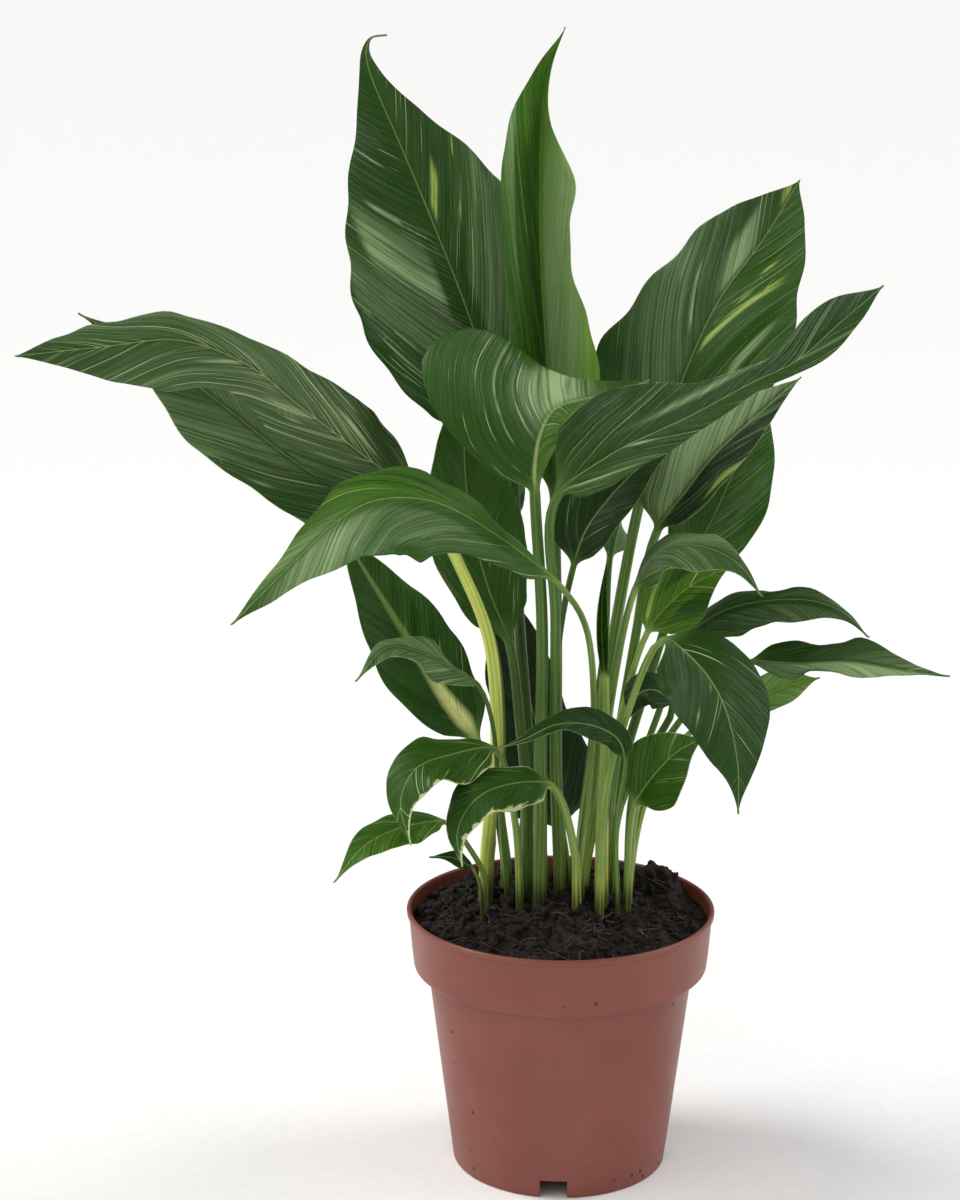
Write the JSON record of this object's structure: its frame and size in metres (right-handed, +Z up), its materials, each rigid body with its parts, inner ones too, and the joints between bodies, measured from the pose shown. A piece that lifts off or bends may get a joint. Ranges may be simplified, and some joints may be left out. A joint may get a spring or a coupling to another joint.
{
  "type": "potted peace lily",
  "caption": "Leafy peace lily with long arching, pale-streaked green leaves on thin stalks, growing in peat in a round, collared plastic nursery pot with notches at its foot.",
  "frame": {"origin": "middle of the underside of the pot, on the surface that it stands on", "axes": "+Z up along the pot's axis, -Y towards the viewer of the picture, +X to the viewer's right"},
  "size_m": [0.3363, 0.2056, 0.4382],
  "materials": {
    "pot": "satin terracotta-brown polypropylene with fine moulding grain and specks of peat",
    "soil": "matt, dark, fibrous potting peat",
    "leaf": "waxy dark green leaf with pale streaks along its side veins, pale margins and rib, and a light green stalk"
  },
  "bodies": {
    "root": {"pot": "pot", "soil": "soil", "leaf_tall_left": "leaf", "leaf_tall_centre": "leaf", "leaf_front_fold": "leaf", "leaf_right_arm": "leaf", "leaf_right_big": "leaf", "leaf_right_lower": "leaf", "leaf_right_behind": "leaf", "leaf_right_droop": "leaf", "leaf_right_bright": "leaf", "leaf_right_arc": "leaf", "leaf_right_flat": "leaf", "leaf_front_drop": "leaf", "leaf_right_pale": "leaf", "leaf_low_right": "leaf", "leaf_mid_right": "leaf", "leaf_left_big": "leaf", "leaf_left_under": "leaf", "leaf_left_mid": "leaf", "leaf_left_hang": "leaf", "leaf_left_curl": "leaf", "leaf_centre_hang": "leaf", "leaf_shade": "leaf", "leaf_low_left": "leaf", "leaf_low_left_tip": "leaf", "leaf_low_front": "leaf", "leaf_cross": "leaf", "leaf_rolled": "leaf", "leaf_sprout": "leaf", "leaf_back_left": "leaf", "leaf_back_right": "leaf", "leaf_under_arm": "leaf"}
  },
  "joints": []
}
